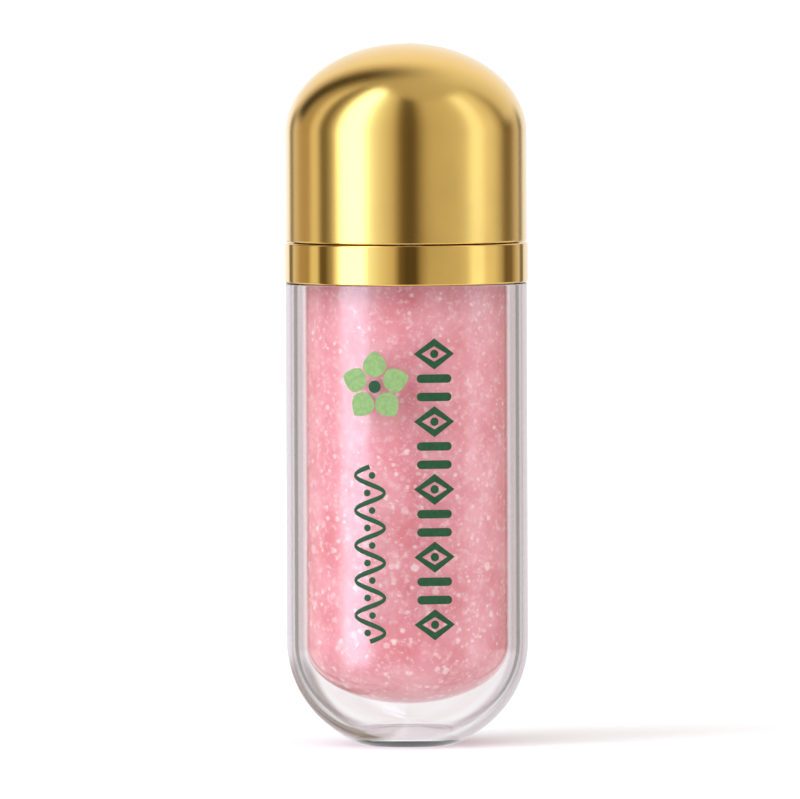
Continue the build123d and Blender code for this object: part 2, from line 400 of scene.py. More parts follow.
def new_group(
    name: str, inputs: dict[str, object], outputs: Sequence[str]
) -> tuple[Wiring, bpy.types.Node, bpy.types.Node]:
    """Starts a shader node group with named sockets.

    Args:
        name: the group's name.
        inputs: name and default of each input: a number, or "vector" for coordinates.
        outputs: name of each value that it puts out.

    Returns:
        Wiring on the group's tree, its input node and its output node.
    """
    tree = bpy.data.node_groups.new(name, "ShaderNodeTree")
    for title, default in inputs.items():
        kind = "NodeSocketVector" if default == "vector" else "NodeSocketFloat"
        socket = tree.interface.new_socket(name=title, in_out="INPUT", socket_type=kind)
        if default != "vector":
            socket.default_value = default
    for title in outputs:
        tree.interface.new_socket(name=title, in_out="OUTPUT", socket_type="NodeSocketFloat")
    wiring = Wiring(tree)
    return wiring, wiring.add("NodeGroupInput"), wiring.add("NodeGroupOutput")


def build_grain_group() -> bpy.types.NodeTree:
    """Makes the fine grain of a moulded or finished surface.

    Returns:
        A group that puts out Height and Mask.
    """
    wiring, given, out = new_group("surface_grain", {"Vector": "vector", "Scale": 4000.0}, ("Height", "Mask"))
    fine = wiring.noise(given.outputs["Vector"], given.outputs["Scale"], detail=3.0)
    wiring.feed(fine, out.inputs["Height"])
    wiring.feed(wiring.span(fine, 0.35, 0.65), out.inputs["Mask"])
    return wiring.tree


def build_handling_group() -> bpy.types.NodeTree:
    """Makes the marks of handling: soft smudges, and sparse hairline scratches.

    Returns:
        A group that puts out Smudge and Scratch masks.
    """
    wiring, given, out = new_group(
        "handling_marks",
        {"Vector": "vector", "Smudge Scale": 120.0, "Scratch Scale": 900.0},
        ("Smudge", "Scratch"),
    )
    cloud = wiring.noise(given.outputs["Vector"], given.outputs["Smudge Scale"], detail=4.0)
    wiring.feed(wiring.span(cloud, 0.45, 0.75), out.inputs["Smudge"])
    stretched = wiring.add("ShaderNodeVectorMath", operation="MULTIPLY")
    wiring.feed(given.outputs["Vector"], stretched.inputs[0])
    stretched.inputs[1].default_value = HAIR_STRETCH
    hairs = wiring.noise(stretched.outputs[0], given.outputs["Scratch Scale"], detail=1.0)
    wiring.feed(wiring.span(hairs, 0.7, 0.78), out.inputs["Scratch"])
    return wiring.tree


def build_flake_group() -> bpy.types.NodeTree:
    """Makes one layer of suspended specks, soft and round, one in each of some cells.

    Returns:
        A group that puts out Mask, where the specks are, and Tone, a random value for each.
    """
    wiring, given, out = new_group(
        "suspended_flakes",
        {"Vector": "vector", "Cell Scale": 1000.0, "Share": 0.4, "Radius": 0.25, "Softness": 0.12},
        ("Mask", "Tone"),
    )
    cells = wiring.add("ShaderNodeTexVoronoi")
    wiring.feed(given.outputs["Vector"], cells.inputs["Vector"])
    wiring.feed(given.outputs["Cell Scale"], cells.inputs["Scale"])
    parts = wiring.add("ShaderNodeSeparateColor")
    wiring.feed(cells.outputs["Color"], parts.inputs[0])
    variety = wiring.span(parts.outputs[1], 0.0, 1.0, SMALLEST_FLAKE, 1.0)
    size = wiring.maths("MULTIPLY", given.outputs["Radius"], variety)
    inside = wiring.maths("SUBTRACT", size, cells.outputs["Distance"])
    soft = wiring.maths("DIVIDE", inside, given.outputs["Softness"])
    blob = wiring.add("ShaderNodeClamp")
    wiring.feed(soft, blob.inputs[0])
    kept = wiring.maths("LESS_THAN", parts.outputs[0], given.outputs["Share"])
    wiring.feed(wiring.maths("MULTIPLY", blob.outputs[0], kept), out.inputs["Mask"])
    wiring.feed(parts.outputs[2], out.inputs["Tone"])
    return wiring.tree


@dataclass
class Effects:
    """The shader groups that several finishes share, each built once."""

    grain: bpy.types.NodeTree = field(default_factory=build_grain_group)
    handling: bpy.types.NodeTree = field(default_factory=build_handling_group)
    flakes: bpy.types.NodeTree = field(default_factory=build_flake_group)


def start_material(name: str) -> tuple[bpy.types.Material, Wiring, bpy.types.Node]:
    """Starts a material with one Principled shader.

    Args:
        name: the material's name.

    Returns:
        The material, wiring on its tree, and the shader node.
    """
    material = bpy.data.materials.new(name)
    material.use_nodes = True
    wiring = Wiring(material.node_tree)
    shader = wiring.add("ShaderNodeBsdfPrincipled")
    output = wiring.add("ShaderNodeOutputMaterial")
    wiring.feed(shader.outputs[0], output.inputs["Surface"])
    return material, wiring, shader


def shade(colour: Colour, factor: float) -> Colour:
    """Gives a darker or lighter shade of a colour."""
    return tuple(channel * factor for channel in colour[:3]) + (1.0,)


def add_bump(wiring: Wiring, shader: bpy.types.Node, height: object, depth: float) -> None:
    """Adds relief too fine to model.

    Args:
        wiring: wiring on the material's tree.
        shader: the shader that takes it.
        height: socket of the relief, from 0 to 1.
        depth: real depth of that relief in metres.
    """
    bump = wiring.add("ShaderNodeBump")
    bump.inputs["Strength"].default_value = 1.0
    bump.inputs["Distance"].default_value = depth
    wiring.feed(height, bump.inputs["Height"])
    wiring.feed(bump.outputs[0], shader.inputs["Normal"])


# ------------------------------------------------------------------------------ finishes
@dataclass(frozen=True)
class ClearPlastic:
    """Polished clear moulding, faintly hazed where it is handled; seen edge-on, its colour turns to a painted
    edge tone: painted shade at the shell's edges, and a painted pink glow from the gel on the vial.
    """

    name: str
    tint: Colour = (0.995, 0.978, 0.985, 1.0)
    # Painted edge tone: colour mixed in where the view grazes the wall. By default it is painted shade for
    # the dark rim; the vial's value is a painted pink glow from the gel.
    painted_edge_tone: Colour = (0.46, 0.33, 0.385, 1.0)
    painted_edge_start: float = 0.57
    painted_edge_full: float = 0.72
    refraction: float = 1.5
    haze: float = 0.02
    reflection: float = 1.0
    smudge_scale: float = 90.0

    def make(self, effects: Effects) -> bpy.types.Material:
        """Builds the material."""
        material, wiring, shader = start_material(self.name)
        marks = wiring.group(effects.handling, Vector=wiring.place(), Smudge_Scale=self.smudge_scale)
        hazed = wiring.span(marks.outputs["Smudge"], 0.0, 1.0, 0.0, self.haze)
        wiring.feed(hazed, shader.inputs["Roughness"])
        # Painted edge shade and glow: Layer Weight mixes the painted edge tone into the colour edge-on.
        edge_on = wiring.add("ShaderNodeLayerWeight")
        painted_edge_share = wiring.span(edge_on.outputs["Facing"], self.painted_edge_start, self.painted_edge_full)
        wiring.feed(wiring.mix(painted_edge_share, self.tint, self.painted_edge_tone), shader.inputs["Base Color"])
        shader.inputs["IOR"].default_value = self.refraction
        shader.inputs["Specular Tint"].default_value = (self.reflection,) * 3 + (1.0,)
        shader.inputs["Transmission Weight"].default_value = 1.0
        self.let_light_in(wiring, shader)
        return material

    def let_light_in(self, wiring: Wiring, shader: bpy.types.Node) -> None:
        """Lets lamps and scattered light straight through, so that the filling is lit.

        Args:
            wiring: wiring on the material's tree.
            shader: the clear shader, which everything else still sees.
        """
        path = wiring.add("ShaderNodeLightPath")
        straight = wiring.maths("MAXIMUM", path.outputs["Is Shadow Ray"], path.outputs["Is Diffuse Ray"])
        window = wiring.add("ShaderNodeBsdfTransparent")
        window.inputs["Color"].default_value = self.tint
        either = wiring.add("ShaderNodeMixShader")
        wiring.feed(straight, either.inputs[0])
        wiring.feed(shader.outputs[0], either.inputs[1])
        wiring.feed(window.outputs[0], either.inputs[2])
        output = next(node for node in wiring.tree.nodes if node.bl_idname == "ShaderNodeOutputMaterial")
        wiring.feed(either.outputs[0], output.inputs["Surface"])


@dataclass(frozen=True)
class FlakeLayer:
    """One size of suspended speck, flake or bubble."""

    cell: float
    share: float
    radius: float
    softness: float
    amount: float
    settles: bool


@dataclass(frozen=True)
class PinkGloss:
    """Thick pink gel, full of pale flakes that are larger and closer towards the bottom."""

    name: str
    deep: Colour = (0.73, 0.212, 0.232, 1.0)
    pale: Colour = (0.86, 0.39, 0.415, 1.0)
    flake: Colour = (1.0, 0.86, 0.82, 1.0)
    bubble: Colour = (0.72, 0.20, 0.27, 1.0)
    bloom: float = 0.6
    cloud_scale: float = 230.0
    cloud_limits: Limits = (0.22, 0.78)
    grit_scale: float = 1300.0
    grit_limits: Limits = (0.50, 0.78)
    grit_strength: float = 0.45
    settle_top: float = 30 * MM
    settle_bottom: float = 8 * MM
    fewest_settled: float = 0.22
    wobble_scale: float = 2100.0
    wobble: float = 0.42 * MM
    bubbles_start: float = 30 * MM
    bubbles_full: float = 36 * MM
    bubbles: FlakeLayer = FlakeLayer(
        cell=330.0, share=0.30, radius=0.17, softness=0.05, amount=0.5, settles=False
    )
    layers: tuple[FlakeLayer, ...] = (
        FlakeLayer(cell=2300.0, share=0.95, radius=0.38, softness=0.22, amount=0.40, settles=False),
        FlakeLayer(cell=1400.0, share=0.95, radius=0.34, softness=0.16, amount=0.50, settles=False),
        FlakeLayer(cell=900.0, share=0.85, radius=0.30, softness=0.12, amount=0.60, settles=False),
        FlakeLayer(cell=800.0, share=0.95, radius=0.34, softness=0.12, amount=0.65, settles=True),
        FlakeLayer(cell=540.0, share=0.85, radius=0.28, softness=0.08, amount=0.80, settles=True),
    )

    def make(self, effects: Effects) -> bpy.types.Material:
        """Builds the material."""
        material, wiring, shader = start_material(self.name)
        place = wiring.place()
        cloud = wiring.noise(place, self.cloud_scale, 5.0, 0.62)
        colour = wiring.mix(wiring.span(cloud, *self.cloud_limits), self.deep, self.pale)
        grit = wiring.noise(place, self.grit_scale, 3.0, 0.7)
        gritty = wiring.span(grit, *self.grit_limits, 0.0, self.grit_strength)
        colour = wiring.mix(gritty, colour, self.flake)
        parts = wiring.add("ShaderNodeSeparateXYZ")
        wiring.feed(place, parts.inputs[0])
        height = parts.outputs[2]
        colour = self.add_flakes(wiring, effects, place, height, colour)
        colour = self.add_bubbles(wiring, effects, place, height, colour)
        wiring.feed(colour, shader.inputs["Base Color"])
        wiring.feed(wiring.span(cloud, 0.3, 0.7, 0.45, 0.6), shader.inputs["Roughness"])
        shader.inputs["Specular IOR Level"].default_value = 0.15
        shader.inputs["Sheen Weight"].default_value = self.bloom
        shader.inputs["Sheen Roughness"].default_value = 0.35
        shader.inputs["Sheen Tint"].default_value = (1.0, 0.9, 0.93, 1.0)
        return material

    def place_layer(
        self, wiring: Wiring, effects: Effects, place: object, layer: FlakeLayer
    ) -> bpy.types.Node:
        """Places the shared speck group with one layer's values."""
        return wiring.group(
            effects.flakes,
            Vector=place,
            Cell_Scale=layer.cell,
            Share=layer.share,
            Radius=layer.radius,
            Softness=layer.softness,
        )

    def add_flakes(
        self, wiring: Wiring, effects: Effects, place: object, height: object, colour: object
    ) -> bpy.types.NodeSocket:
        """Scatters the flakes, a little out of shape, over the gel's colour.

        Args:
            wiring: wiring on the material's tree.
            effects: the shared shader groups.
            place: socket of the piece's coordinates.
            height: socket of the height in metres.
            colour: socket of the gel's colour.

        Returns:
            The colour with the flakes in it.
        """
        settled = wiring.span(height, self.settle_bottom, self.settle_top, 1.0, self.fewest_settled)
        wobble = wiring.add("ShaderNodeTexNoise")
        wiring.feed(place, wobble.inputs["Vector"])
        wobble.inputs["Scale"].default_value = self.wobble_scale
        shifted = wiring.add("ShaderNodeVectorMath", operation="MULTIPLY_ADD")
        wiring.feed(wobble.outputs["Color"], shifted.inputs[0])
        shifted.inputs[1].default_value = (self.wobble,) * 3
        wiring.feed(place, shifted.inputs[2])
        for layer in self.layers:
            flakes = self.place_layer(wiring, effects, shifted.outputs[0], layer)
            tone = wiring.span(flakes.outputs["Tone"], 0.0, 1.0, 0.25, 1.0)
            shown = wiring.maths("MULTIPLY", flakes.outputs["Mask"], tone)
            shown = wiring.maths("MULTIPLY", shown, layer.amount)
            if layer.settles:
                shown = wiring.maths("MULTIPLY", shown, settled)
            colour = wiring.mix(shown, colour, self.flake)
        return colour

    def add_bubbles(
        self, wiring: Wiring, effects: Effects, place: object, height: object, colour: object
    ) -> bpy.types.NodeSocket:
        """Adds the few small bubbles that hang near the top; it takes and gives what add_flakes does."""
        bubbles = self.place_layer(wiring, effects, place, self.bubbles)
        high = wiring.span(height, self.bubbles_start, self.bubbles_full)
        shown = wiring.maths("MULTIPLY", bubbles.outputs["Mask"], high)
        shown = wiring.maths("MULTIPLY", shown, self.bubbles.amount)
        return wiring.mix(shown, colour, self.bubble)


@dataclass(frozen=True)
class GoldFinish:
    """Gold-coloured metal, satin or mirror bright, with faint marks of handling."""

    name: str
    colour: Colour
    roughness: float
    spread: float
    grain_scale: float
    grain_depth: float
    lacquer: float
    smudge_scale: float = 140.0
    scratch_scale: float = 1600.0
    smudge_shade: float = 0.93
    smudge_wear: float = 0.6

    def make(self, effects: Effects) -> bpy.types.Material:
        """Builds the material."""
        material, wiring, shader = start_material(self.name)
        place = wiring.place()
        marks = wiring.group(
            effects.handling, Vector=place, Smudge_Scale=self.smudge_scale, Scratch_Scale=self.scratch_scale
        )
        grain = wiring.group(effects.grain, Vector=wiring.place((1.0, 1.0, 6.0)), Scale=self.grain_scale)
        darker = shade(self.colour, self.smudge_shade)
        smudge, scratch = marks.outputs["Smudge"], marks.outputs["Scratch"]
        wiring.feed(wiring.mix(smudge, self.colour, darker), shader.inputs["Base Color"])
        worn = wiring.maths("MULTIPLY_ADD", smudge, self.smudge_wear, scratch)
        rough = wiring.span(worn, 0.0, 1.4, self.roughness, self.roughness + self.spread)
        wiring.feed(rough, shader.inputs["Roughness"])
        shader.inputs["Metallic"].default_value = 1.0
        shader.inputs["Coat Weight"].default_value = self.lacquer
        shader.inputs["Coat Roughness"].default_value = self.roughness
        add_bump(wiring, shader, grain.outputs["Height"], self.grain_depth)
        return material


@dataclass(frozen=True)
class MouldedPlastic:
    """Plain moulded plastic with a fine skin."""

    name: str
    colour: Colour
    roughness: float = 0.42
    softness: float = 0.0
    grain_scale: float = 5200.0
    grain_depth: float = 0.01 * MM
    flow_shade: float = 0.94

    def make(self, effects: Effects) -> bpy.types.Material:
        """Builds the material."""
        material, wiring, shader = start_material(self.name)
        place = wiring.place()
        grain = wiring.group(effects.grain, Vector=place, Scale=self.grain_scale)
        flow = wiring.noise(wiring.place((1.0, 1.0, 0.25)), 300.0, 2.0)
        shaded = wiring.mix(wiring.span(flow, 0.35, 0.7), self.colour, shade(self.colour, self.flow_shade))
        wiring.feed(shaded, shader.inputs["Base Color"])
        rough = wiring.span(grain.outputs["Mask"], 0.0, 1.0, self.roughness - 0.06, self.roughness + 0.08)
        wiring.feed(rough, shader.inputs["Roughness"])
        if self.softness > 0:
            shader.inputs["Subsurface Weight"].default_value = self.softness
            shader.inputs["Subsurface Radius"].default_value = (1.0 * MM, 0.9 * MM, 0.8 * MM)
        add_bump(wiring, shader, grain.outputs["Height"], self.grain_depth)
        return material


@dataclass(frozen=True)
class PrintingInk:
    """Opaque printed colour, slightly uneven like a pad print."""

    name: str
    colour: Colour

    def make(self, effects: Effects) -> bpy.types.Material:
        """Builds the material."""
        material, wiring, shader = start_material(self.name)
        grain = wiring.group(effects.grain, Vector=wiring.place(), Scale=2600.0)
        lighter = tuple(min(channel * 1.18 + 0.004, 1.0) for channel in self.colour[:3]) + (1.0,)
        wiring.feed(wiring.mix(grain.outputs["Mask"], self.colour, lighter), shader.inputs["Base Color"])
        wiring.feed(wiring.span(grain.outputs["Mask"], 0.0, 1.0, 0.5, 0.6), shader.inputs["Roughness"])
        shader.inputs["Specular IOR Level"].default_value = 0.25
        return material


@dataclass(frozen=True)
class StudioFloor:
    """Seamless pale floor."""

    name: str = "floor_paper"
    colour: Colour = (0.9, 0.9, 0.9, 1.0)

    def make(self, effects: Effects) -> bpy.types.Material:
        """Builds the material."""
        material, wiring, shader = start_material(self.name)
        grain = wiring.group(effects.grain, Vector=wiring.place(), Scale=900.0)
        mottled = wiring.mix(grain.outputs["Mask"], self.colour, shade(self.colour, 0.99))
        wiring.feed(mottled, shader.inputs["Base Color"])
        shader.inputs["Roughness"].default_value = 1.0
        shader.inputs["Specular IOR Level"].default_value = 0.0
        return material


def dress(
    piece: bpy.types.Object, material: bpy.types.Material, body: str, slot: str, *stands_for: str
) -> None:
    """Gives a new piece its finish and its body, and hides the CAD nodes that it stands for.

    Args:
        piece: the new piece.
        material: its finish.
        body: the body that it moves with.
        slot: the record's material slot; not used.
        stands_for: CAD nodes that it replaces.
    """
    piece.data.materials.clear()
    piece.data.materials.append(material)
    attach(piece, body)
    if stands_for:
        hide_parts(*stands_for)
    log.info("%s rides on %s with %d faces", piece.name, body, len(piece.data.polygons))


def node_span(node: str) -> tuple[float, float, float]:
    """Gives a CAD node's outer radius, lowest and highest points."""
    low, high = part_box(node)
    return (high[0] - low[0]) / 2, low[2], high[2]


# ------------------------------------------------------------------------------ the bottle
@dataclass
class ClearShell:
    """Outer jacket of the bottle: straight wall, rounded base and flat foot."""

    wall: float = 1.1 * MM
    arc_height: float = 10.25 * MM
    arc_drop: float = 11.0 * MM
    floor: float = 1.3 * MM
    shoulder: float = 46.0 * MM
    spigot: float = 11.4 * MM
    edge: float = 0.12 * MM

    def outline(self) -> Outline:
        """Draws the half section."""
        radius, _, rim = node_span("outer_shell")
        bore = radius - self.wall
        bore_drop = self.arc_drop - self.wall
        foot_angle = math.degrees(math.asin((self.arc_height - self.edge / 2) / self.arc_drop))
        foot_radius = radius * math.cos(math.radians(foot_angle)) - 2 * self.edge
        floor_angle = math.degrees(math.asin((self.arc_height - self.floor) / bore_drop))
        line = Outline().to(0, 0).to(foot_radius, 0)
        line.curve((0, self.arc_height), radius, self.arc_drop, -foot_angle, 0, 48)
        line.curve((radius - self.edge, self.shoulder - self.edge), self.edge, self.edge, 0, 90, 4)
        line.to(self.spigot, self.shoulder).to(self.spigot, rim).to(bore, rim)
        line.curve((0, self.arc_height), bore, bore_drop, 0, -floor_angle, 44)
        return line.to(0, self.floor)

    def build(self, material: bpy.types.Material) -> None:
        """Makes and dresses the shell."""
        piece = turn("clear_shell", self.outline(), Fineness.LARGE)
        dress(piece, material, "bottle", "clear_shell", "outer_shell")


@dataclass
class ClearVial:
    """Inner bottle that holds the gloss: domed bottom, hanging flange and screw neck."""

    radius: float = 10.1 * MM
    wall: float = 0.6 * MM
    arc_height: float = 10.0 * MM
    arc_drop: float = 5.9 * MM
    chamber_drop: float = 5.2 * MM
    chamber_top: float = 46.7 * MM
    chamber_neck: float = 47.8 * MM
    flange_bottom: float = 47.6 * MM
    flange_top: float = 48.8 * MM
    neck: float = 6.45 * MM
    bore: float = 5.0 * MM
    row: float = 0.11 * MM
    thread: ScrewThread = ScrewThread(
        start=53.2 * MM,
        pitch=2.1 * MM,
        turns=1.5,
        height=0.72 * MM,
        root_width=1.1 * MM,
        crest_width=0.5 * MM,
    )

    def outline(self) -> Outline:
        """Draws the half section."""
        flange, _, top = node_span("inner_vial")
        chamber = self.radius - self.wall
        line = Outline().curve((0, self.arc_height), self.radius, self.arc_drop, -90, 0, 40)
        line.to(self.radius, self.flange_bottom).to(flange, self.flange_bottom).to(flange, self.flange_top)
        line.to(self.neck, self.flange_top).rows(self.neck, top, self.row).to(self.bore, top)
        line.to(self.bore, self.chamber_neck).to(chamber, self.chamber_top)
        return line.curve((0, self.arc_height), chamber, self.chamber_drop, 0, -90, 40)

    def relief(self, angle: float, radius: float, height: float) -> float:
        """Raises the thread on the outside of the neck only."""
        on_neck = abs(radius - self.neck) < 1e-6 and height > self.flange_top + self.row
        return self.thread.relief(angle, radius, height) if on_neck else 0.0

    def build(self, material: bpy.types.Material) -> None:
        """Makes and dresses the vial."""
        piece = turn("clear_vial", self.outline(), Fineness.LARGE, relief=self.relief)
        dress(piece, material, "bottle", "clear_vial", "inner_vial")


@dataclass
class GlossFilling:
    """The gel, which clings to the inside of the vial, with the pocket that the wand stands in."""

    arc_height: float = 10.0 * MM
    arc_drop: float = 5.17 * MM
    cling: float = 0.05 * MM
    pocket: float = 2.3 * MM
    pocket_bottom: float = 6.6 * MM
    meniscus: float = 0.25 * MM

    def build(self, material: bpy.types.Material) -> None:
        """Makes and dresses the filling."""
        radius, _, level = node_span("gloss")
        radius += self.cling
        line = Outline().curve((0, self.arc_height), radius, self.arc_drop + self.cling, -90, 0, 40)
        line.to(radius, level)
        dip = self.meniscus * 0.6
        line.curve((radius - self.meniscus, level), self.meniscus * 0.9, -dip, 20, 90, 5)
        shoulder = self.pocket + self.meniscus
        line.to(shoulder, level - dip)
        line.curve((shoulder, level - dip - self.meniscus), self.meniscus, self.meniscus, 90, 180, 5)
        line.curve((0, self.pocket_bottom + self.pocket), self.pocket, self.pocket, 0, -90, 12)
        piece = turn("pink_gloss", line, Fineness.LARGE)
        dress(piece, material, "bottle", "pink_gloss", "gloss")


@dataclass
class BrightCollar:
    """Mirror-bright ring that stays on the bottle."""

    skirt_bore: float = 11.45 * MM
    plate_bottom: float = 48.8 * MM
    hole: float = 7.45 * MM
    edge: float = 0.15 * MM

    def build(self, material: bpy.types.Material) -> None:
        """Makes and dresses the collar."""
        radius, bottom, top = node_span("collar")
        line = Outline().to(self.skirt_bore, bottom).to(radius - self.edge, bottom)
        line.curve((radius - self.edge, bottom + self.edge), self.edge, self.edge, -90, 0, 5)
        line.curve((radius - self.edge, top - self.edge), self.edge, self.edge, 0, 90, 5)
        line.to(self.hole, top).to(self.hole, self.plate_bottom).to(self.skirt_bore, self.plate_bottom)
        piece = turn("bright_collar", line, Fineness.LARGE, closed=True)
        dress(piece, material, "bottle", "mirror_gold", "collar")


@dataclass
class NeckWiper:
    """Soft plug in the neck, with the lip that strips the wand."""

    sleeve: float = 4.97 * MM
    sleeve_bore: float = 4.22 * MM
    rim: float = 59.6 * MM
    funnel_top: float = 54.6 * MM
    lip: float = 2.1 * MM
    lip_wall: float = 0.5 * MM
    edge: float = 0.2 * MM

    def build(self, material: bpy.types.Material) -> None:
        """Makes and dresses the wiper."""
        flange, bottom, top = node_span("wiper")
        line = Outline().to(self.lip + self.lip_wall, bottom)
        line.to(self.sleeve, self.funnel_top - self.lip_wall).to(self.sleeve, self.rim).to(flange, self.rim)
        line.curve((flange - self.edge, top - self.edge), self.edge, self.edge, 0, 90, 4)
        line.curve((self.sleeve_bore + self.edge, top - self.edge), self.edge, self.edge, 90, 180, 4)
        line.to(self.sleeve_bore, self.funnel_top)
        rounding = self.lip_wall / 2
        line.curve((self.lip + rounding, bottom + rounding), rounding, rounding, 120, 270, 8)
        piece = turn("neck_wiper", line, Fineness.MEDIUM, closed=True)
        dress(piece, material, "bottle", "soft_white", "wiper")


# ------------------------------------------------------------------------------ the cap
@dataclass
class DomeCap:
    """Satin gold dome over the cap, thin-walled and open below."""

    wall: float = 0.8 * MM
    dome: float = 8.95 * MM
    edge: float = 0.15 * MM

    def build(self, material: bpy.types.Material) -> None:
        """Makes and dresses the dome."""
        radius, bottom, top = node_span("overcap")
        base = top - self.dome
        bore = radius - self.wall
        line = Outline().curve((0, base), bore, self.dome - self.wall, 90, 0, 40)
        line.to(bore, bottom).to(radius - self.edge, bottom)
        line.curve((radius - self.edge, bottom + self.edge), self.edge, self.edge, -90, 0, 5)
        line.curve((0, base), radius, self.dome, 0, 90, 56)
        piece = turn("dome_cap", line, Fineness.LARGE)
        dress(piece, material, "cap", "satin_gold", "overcap")


@dataclass
class SealingWasher:
    """Foam washer that seals the cap on the wiper, with soft edges."""

    hole: float = 2.2 * MM
    edge: float = 0.12 * MM

    def build(self, material: bpy.types.Material) -> None:
        """Makes and dresses the washer."""
        radius, bottom, top = node_span("cap_liner")
        line = Outline()
        for centre_radius, centre_height, start in (
            (radius - self.edge, bottom + self.edge, -90),
            (radius - self.edge, top - self.edge, 0),
            (self.hole + self.edge, top - self.edge, 90),
            (self.hole + self.edge, bottom + self.edge, 180),
        ):
            line.curve((centre_radius, centre_height), self.edge, self.edge, start, start + 90, 5)
        piece = turn("sealing_washer", line, Fineness.MEDIUM, closed=True)
        dress(piece, material, "liner", "foam", "cap_liner")


@dataclass
class Wand:
    """Stem, and the flocked tip with its slanted face."""

    bore: float = 1.25 * MM
    bore_depth: float = 4.3 * MM
    taper: float = 0.3 * MM
    core: float = 1.25 * MM
    tip: float = 1.95 * MM
    tip_bottom: float = 8.9 * MM
    tip_arc: float = 2.4 * MM
    slant_start: float = 14.6 * MM
    slant_angle: float = math.radians(23)
    nap: float = 0.14 * MM
    nap_row: float = 0.12 * MM
    nap_flats: int = 96
    nap_unevenness: float = 0.25
    fibres: int = 5200
    fibre_length: float = 0.17 * MM
    fibre_width: float = 0.028 * MM
    fibre_lean: float = 0.3
    fibre_root: float = 1.6
    fibre_variety: Limits = (0.75, 1.1)
    bare_bottom: float = 0.2 * MM
    bare_top: float = 0.15 * MM
    steepest: float = 0.15
    seed: int = 11

    def build_stem(self, material: bpy.types.Material) -> None:
        """Makes and dresses the stem."""
        radius, bottom, top = node_span("wand_stem")
        line = Outline().to(0, bottom + self.bore_depth).to(self.bore, bottom + self.bore_depth)
        line.to(self.bore, bottom).to(radius - self.taper, bottom).to(radius, bottom + self.taper)
        line.to(radius, top - self.taper).to(radius - self.taper, top).to(0, top)
        piece = turn("wand_stem_rod", line, Fineness.SMALL)
        dress(piece, material, "stem", "stem_plastic", "wand_stem")

    def on_tip(self, angle: float, height: float, sink: float) -> tuple[Vector, Vector]:
        """Finds a point of the tip's surface and the way it faces.

        Args:
            angle: angle round the axis, in radians.
            height: height on the axis.
            sink: depth below the CAD tip's surface.

        Returns:
            The point, and the outward direction there.
        """
        radius = self.tip
        arc_centre = self.tip_bottom + self.tip_arc
        drop = min(max((arc_centre - height) / self.tip_arc, 0.0), 1.0)
        around = (radius - sink) * math.sqrt(max(1 - drop * drop, 0.0))
        point = Vector((around * math.cos(angle), around * math.sin(angle), height))
        steepness = drop * radius / self.tip_arc / max(math.sqrt(1 - drop * drop), self.steepest)
        facing = Vector((math.cos(angle), math.sin(angle), -steepness))
        cut = (self.slant_start - height) * math.tan(self.slant_angle)
        limit = radius - cut - sink / math.cos(self.slant_angle)
        if point.x > limit:
            point.x = limit
            facing = Vector((math.cos(self.slant_angle), 0, -math.sin(self.slant_angle)))
        return point, facing.normalized()

    def add_nap(self, verts: Corners, faces: Faces, bottom: float, top: float, chance: random.Random) -> None:
        """Adds the uneven surface of the nap, closed below and open to the core above.

        Args:
            verts: corners so far, added to.
            faces: faces so far, added to.
            bottom: lowest point of the nap.
            top: its highest point.
            chance: the random draws.
        """
        flats = self.nap_flats
        rows = math.ceil((top - bottom) / self.nap_row)
        for row in range(rows + 1):
            height = bottom + (top - bottom) * row / rows
            for flat in range(flats):
                sink = self.nap + chance.uniform(-self.nap_unevenness, self.nap_unevenness) * self.nap
                point, _ = self.on_tip(FULL_TURN * flat / flats, height, sink)
                verts.append(tuple(point))
        for row in range(rows):
            self.join_rings(faces, row * flats, (row + 1) * flats)
        lid = len(verts)
        low_point, _ = self.on_tip(math.pi, bottom, self.nap)
        verts.append((min(low_point.x / 2, -self.bare_bottom), 0.0, bottom))
        for flat in range(flats):
            faces.append(((flat + 1) % flats, flat, lid))
        inner = len(verts)
        for height in (top, top - self.nap):
            for flat in range(flats):
                angle = FULL_TURN * flat / flats
                verts.append((self.core * math.cos(angle), self.core * math.sin(angle), height))
        verts.append((0.0, 0.0, top - self.nap))
        self.join_rings(faces, rows * flats, inner)
        self.join_rings(faces, inner, inner + flats)
        for flat in range(flats):
            faces.append((inner + flats + flat, inner + flats + (flat + 1) % flats, len(verts) - 1))

    def join_rings(self, faces: Faces, first: int, second: int) -> None:
        """Joins two rings of corners, given by the number of each ring's first corner."""
        for flat in range(self.nap_flats):
            after = (flat + 1) % self.nap_flats
            faces.append((first + flat, first + after, second + after, second + flat))

    def add_fibres(
        self, verts: Corners, faces: Faces, bottom: float, top: float, chance: random.Random
    ) -> None:
        """Stands the fibres in the nap, each a slim spike; it takes what add_nap takes."""
        for _ in range(self.fibres):
            height = chance.uniform(bottom + self.bare_bottom, top - self.bare_top)
            root, facing = self.on_tip(chance.uniform(0, FULL_TURN), height, self.nap * self.fibre_root)
            lean = Vector([chance.gauss(0, self.fibre_lean) for _ in range(3)])
            way = (facing + lean).normalized()
            side = way.orthogonal().normalized() * self.fibre_width / 2
            other = way.cross(side).normalized() * self.fibre_width / 2
            end = root + way * self.fibre_length * chance.uniform(*self.fibre_variety)
            first = len(verts)
            foot = (root + side, root - side + other, root - side - other)
            verts.extend(tuple(corner) for corner in (*foot, end))
            faces.extend(((first, first + 2, first + 1), (first, first + 1, first + 3)))
            faces.extend(((first + 1, first + 2, first + 3), (first + 2, first, first + 3)))

    def build_tip(self, material: bpy.types.Material) -> None:
        """Makes and dresses the flocked tip: an uneven nap, and the fibres that stand in it."""
        chance = random.Random(self.seed)
        _, bottom, top = node_span("flocked_tip")
        verts: Corners = []
        faces: Faces = []
        self.add_nap(verts, faces, bottom + self.nap, top, chance)
        self.add_fibres(verts, faces, bottom + self.nap, top, chance)
        piece = mesh_piece("flocked_tip_nap", verts, faces)
        dress(piece, material, "cap", "flock", "flocked_tip")


# ------------------------------------------------------------------------------ printed pattern
class Ink(Enum):
    """The two printed colours, by the name of their slot."""

    DARK = "dark_ink"
    LIGHT = "light_ink"


